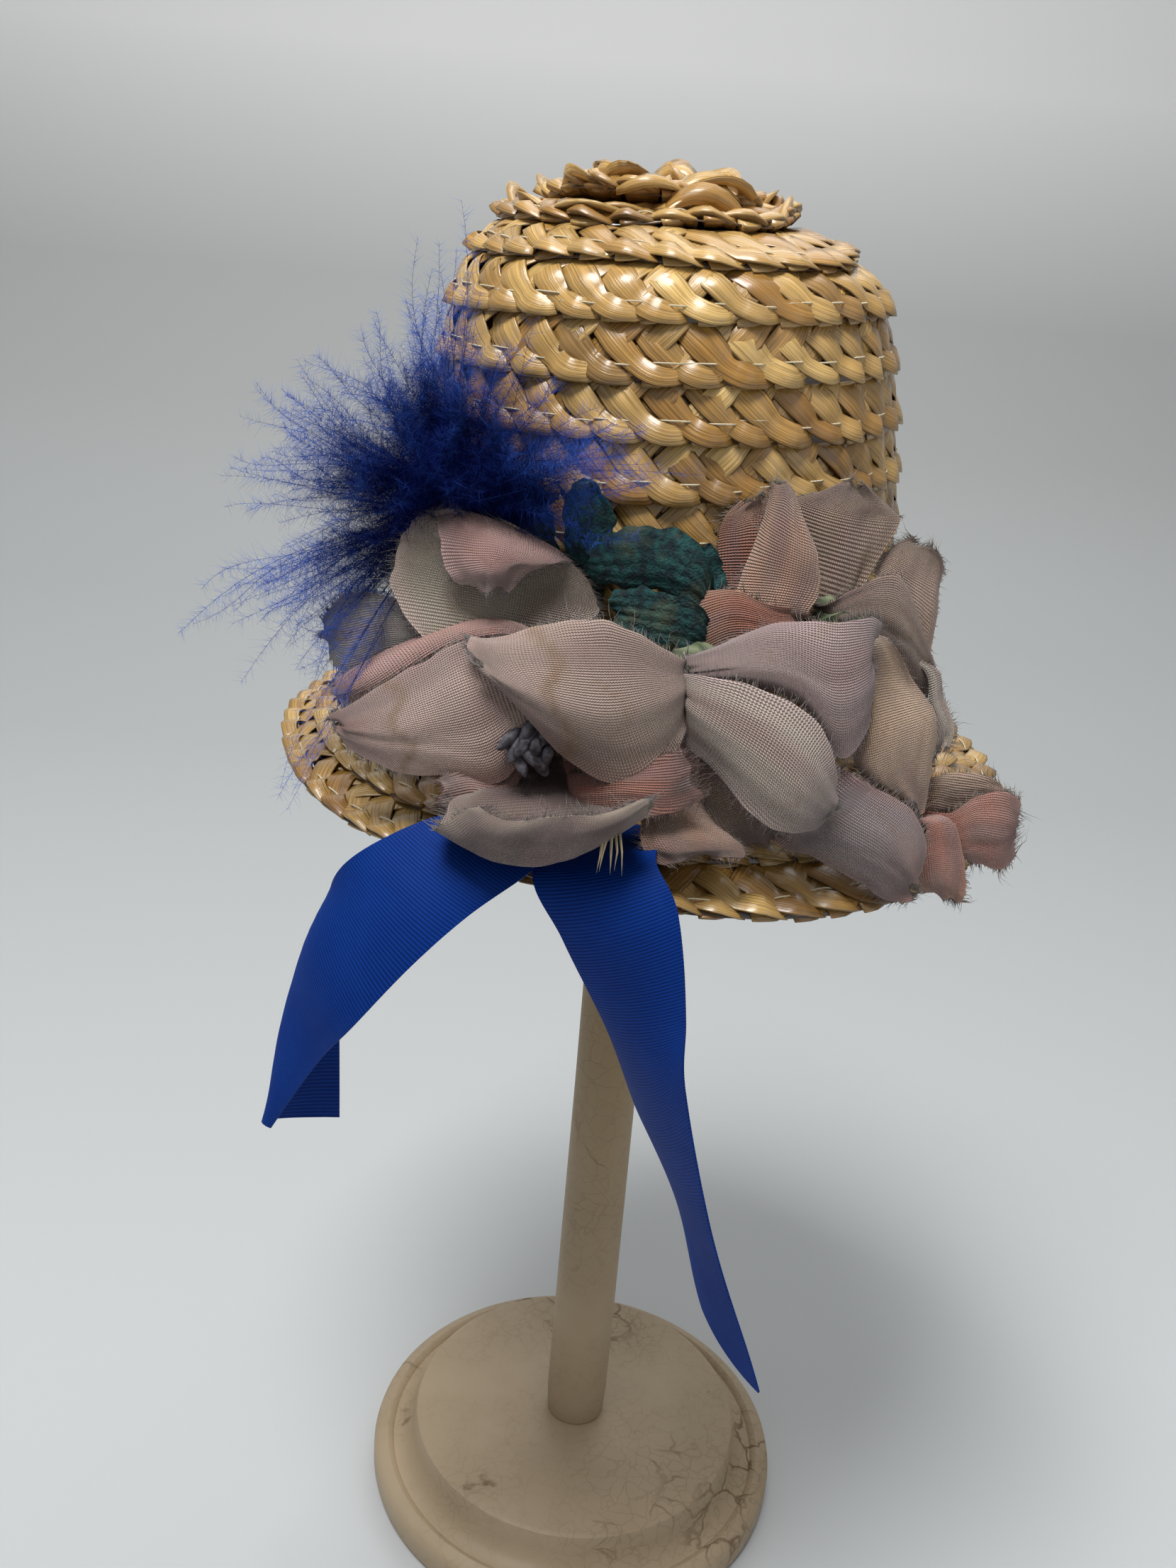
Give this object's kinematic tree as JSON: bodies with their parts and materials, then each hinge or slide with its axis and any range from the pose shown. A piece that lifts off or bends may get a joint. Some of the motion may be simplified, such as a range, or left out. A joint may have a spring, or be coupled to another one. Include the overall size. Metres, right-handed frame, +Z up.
{
  "type": "doll's straw hat on a wooden hat stand",
  "caption": "Doll's sewn straw braid hat with silk flowers, velvet leaves, a blue plume and blue ribbon ends, on a small painted wooden hat stand",
  "frame": {"origin": "the middle of the stand's flat underside, on the axis of the post", "axes": "+Z up along the post, the front of the hat with its flowers looks along -Y, +X to the right in the picture"},
  "size_m": [0.1659, 0.169, 0.3185],
  "materials": {
    "painted_wood": "worn crackled paint",
    "straw": "glossy flattened straw",
    "ribbon": "ribbed grosgrain",
    "plume": "soft down",
    "velvet": "crushed velvet",
    "seed_heads": "dull",
    "stem_wrap": "wound tape",
    "silk": "faded woven silk"
  },
  "bodies": {
    "root": {"brim": "straw", "crown": "straw", "flower_stem_left": "stem_wrap", "flower_stem_middle": "stem_wrap", "flower_stem_right": "stem_wrap", "leaf_left": "velvet", "leaf_lower": "velvet", "leaf_middle": "velvet", "leaf_right": "velvet", "leaf_upper": "velvet", "petal_brim_fold": "silk", "petal_brim_lower": "silk", "petal_brim_upper": "silk", "petal_centre": "silk", "petal_cup": "silk", "petal_cup_side": "silk", "petal_left_back": "silk", "petal_left_fold": "silk", "petal_left_front": "silk", "petal_left_lip": "silk", "petal_left_upper": "silk", "petal_rear_brown": "silk", "petal_rear_edge": "silk", "petal_rear_frayed": "silk", "petal_rear_grey": "silk", "petal_rear_rose": "silk", "petal_rear_tan": "silk", "petal_right_amber": "silk", "petal_right_front": "silk", "petal_right_gauze": "silk", "petal_right_lower": "silk", "petal_right_upper": "silk", "petal_shadow_grey": "silk", "petal_shadow_rose": "silk", "plume": "plume", "ribbon_tail_left": "ribbon", "ribbon_tail_right": "ribbon", "stamens": "seed_heads", "stand_base": "painted_wood", "stand_post": "painted_wood"}
  },
  "joints": []
}
